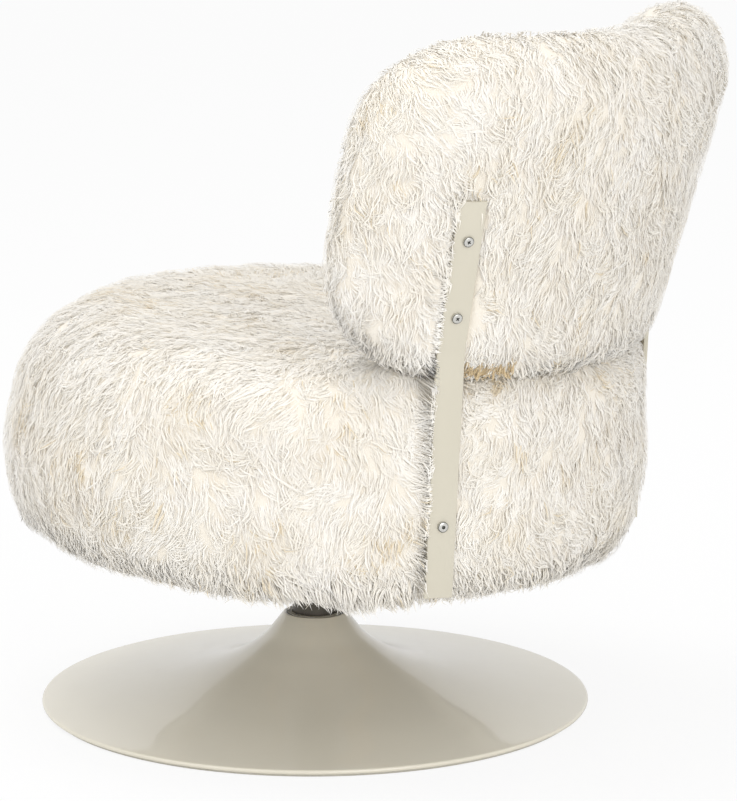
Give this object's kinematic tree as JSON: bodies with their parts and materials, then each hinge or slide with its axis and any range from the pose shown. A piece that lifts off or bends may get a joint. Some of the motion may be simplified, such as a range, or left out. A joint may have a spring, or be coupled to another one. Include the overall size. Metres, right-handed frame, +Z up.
{
  "type": "swivel lounge chair",
  "caption": "Swivel lounge chair with a round drum seat and a curved, flared back in long-pile sheepskin, held by flat screwed straps on a turned trumpet foot with a wide disc.",
  "frame": {"origin": "on the floor, at the centre of the underside of the foot, on the swivel axis", "axes": "+Z up along the swivel axis; the chair faces -Y, with its back towards +Y; +X is the sitter's left"},
  "size_m": [0.696, 0.77, 0.7662],
  "materials": {
    "coat": "gloss",
    "steel": "satin",
    "nickel": "gloss",
    "nylon": "satin",
    "plywood": "matte",
    "foam": "matte",
    "sheepskin": "matte",
    "felt": "matte",
    "cloth": "matte"
  },
  "bodies": {
    "base": {"base_pad": "felt", "ballast_plate": "steel", "column_flange": "steel", "flange_bolt_1": "steel", "flange_bolt_2": "steel", "flange_bolt_3": "steel", "flange_bolt_4": "steel", "column_sleeve": "steel", "thrust_disc": "nylon", "lower_bush": "nylon", "upper_bush": "nylon", "base_shell": "coat", "floor_ring": "nylon"},
    "seat": {"swivel_column": "coat", "column_plug": "steel", "retaining_washer": "steel", "retaining_bolt": "steel", "mount_plate": "steel", "mount_bolt_1": "steel", "mount_bolt_2": "steel", "mount_bolt_3": "steel", "mount_bolt_4": "steel", "seat_board": "plywood", "strap_screw_left_1": "nickel", "tee_nut_left_1": "steel", "strap_screw_left_2": "nickel", "tee_nut_left_2": "steel", "strap_screw_left_3": "nickel", "tee_nut_left_3": "steel", "strap_left": "coat", "strap_screw_right_1": "nickel", "tee_nut_right_1": "steel", "strap_screw_right_2": "nickel", "tee_nut_right_2": "steel", "strap_screw_right_3": "nickel", "tee_nut_right_3": "steel", "strap_right": "coat", "seat_hoop": "plywood", "seat_cover": "sheepskin", "seat_foam": "foam", "dust_cover": "cloth", "back_cover": "sheepskin", "back_shell": "plywood", "back_foam_front": "foam", "back_foam_rear": "foam"}
  },
  "joints": [
    {"name": "seat_swivel", "type": "hinge", "parent": "base", "child": "seat", "pos_m": [0, 0, 0], "axis": [0, 0, 1], "continuous": true}
  ]
}
